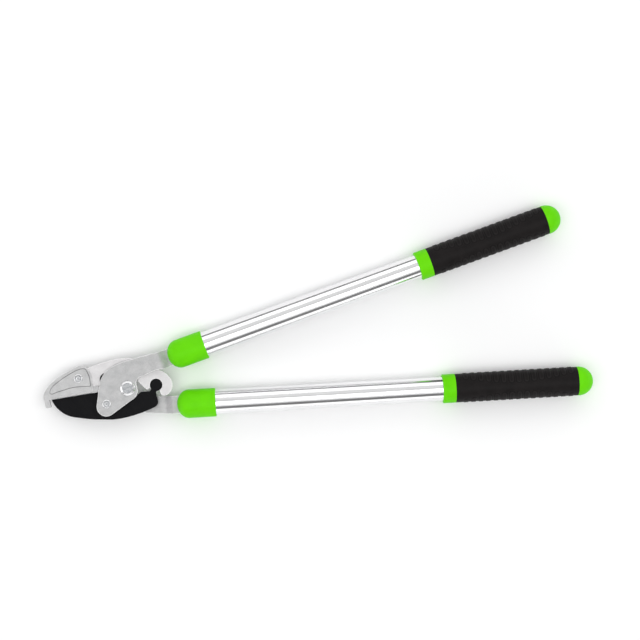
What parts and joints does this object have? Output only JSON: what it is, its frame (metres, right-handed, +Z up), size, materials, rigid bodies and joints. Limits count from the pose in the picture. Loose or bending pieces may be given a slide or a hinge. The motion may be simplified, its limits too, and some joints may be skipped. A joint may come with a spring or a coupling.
{
  "type": "anvil loppers",
  "caption": "Long-handled anvil loppers with a compound linkage, a black blade held by a round knob in a hook, tube handles and ribbed grips.",
  "frame": {"origin": "on the axis of the main pivot bolt, in the plane that the tool lies on (the end faces of the main bolt and its lock nut)", "axes": "+X from the jaws to the grips along the line between the two closed handles, +Y towards the upper handle, +Z up along the pivot axis towards the bolt's head"},
  "size_m": [0.7501, 0.2687, 0.0402],
  "materials": {
    "plate_steel": "bead-blasted satin steel",
    "arm_steel": "bright satin nickel plate",
    "anvil_metal": "cast and tumbled, satin",
    "blade_coat": "black low-friction coating, satin",
    "tube_aluminium": "polished and clear anodised",
    "green_plastic": "lime green moulded plastic, matt",
    "grip_rubber": "soft black moulded rubber, matt",
    "insert_plastic": "black glass-filled nylon",
    "fastener_steel": "zinc plated",
    "washer_nylon": "black nylon"
  },
  "bodies": {
    "upper_handle": {"upper_link_plate": "plate_steel", "upper_tube": "tube_aluminium", "upper_collar": "green_plastic", "upper_tube_insert": "insert_plastic", "upper_tang_pins": "fastener_steel", "upper_grip_core": "green_plastic", "upper_grip": "grip_rubber", "pivot_bolt": "fastener_steel", "pivot_spacer": "fastener_steel", "pivot_washer": "fastener_steel", "pivot_nut": "fastener_steel", "blade_rivet": "fastener_steel", "blade_washer": "washer_nylon"},
    "lower_handle": {"lower_link_plate": "plate_steel", "lower_tube": "tube_aluminium", "lower_collar": "green_plastic", "lower_tube_insert": "insert_plastic", "lower_tang_pins": "fastener_steel", "lower_grip_core": "green_plastic", "lower_grip": "grip_rubber", "arm_rivet": "fastener_steel", "arm_washers": "washer_nylon"},
    "blade_jaw": {"blade": "blade_coat"},
    "anvil_jaw": {"anvil_arm": "arm_steel", "anvil": "anvil_metal", "anvil_rivet": "fastener_steel"}
  },
  "joints": [
    {"name": "handle_pivot", "type": "hinge", "parent": "upper_handle", "child": "lower_handle", "pos_m": [0, 0, 0.0201], "axis": [0, 0, -1], "range_deg": [0, 60]},
    {"name": "blade_pivot", "type": "hinge", "parent": "upper_handle", "child": "blade_jaw", "pos_m": [-0.0323, -0.0155, 0.0201], "axis": [0, 0, -1], "range_deg": [0, 17.6]},
    {"name": "hook_pivot", "type": "hinge", "parent": "blade_jaw", "child": "anvil_jaw", "pos_m": [0.0387, -0.0036, 0.0201], "axis": [0, 0, -1], "range_deg": [0, 22.4]}
  ],
  "couplings": [
    {"joint": "blade_pivot", "follows": "handle_pivot", "ratio": 0.292},
    {"joint": "hook_pivot", "follows": "handle_pivot", "ratio": 0.372}
  ]
}
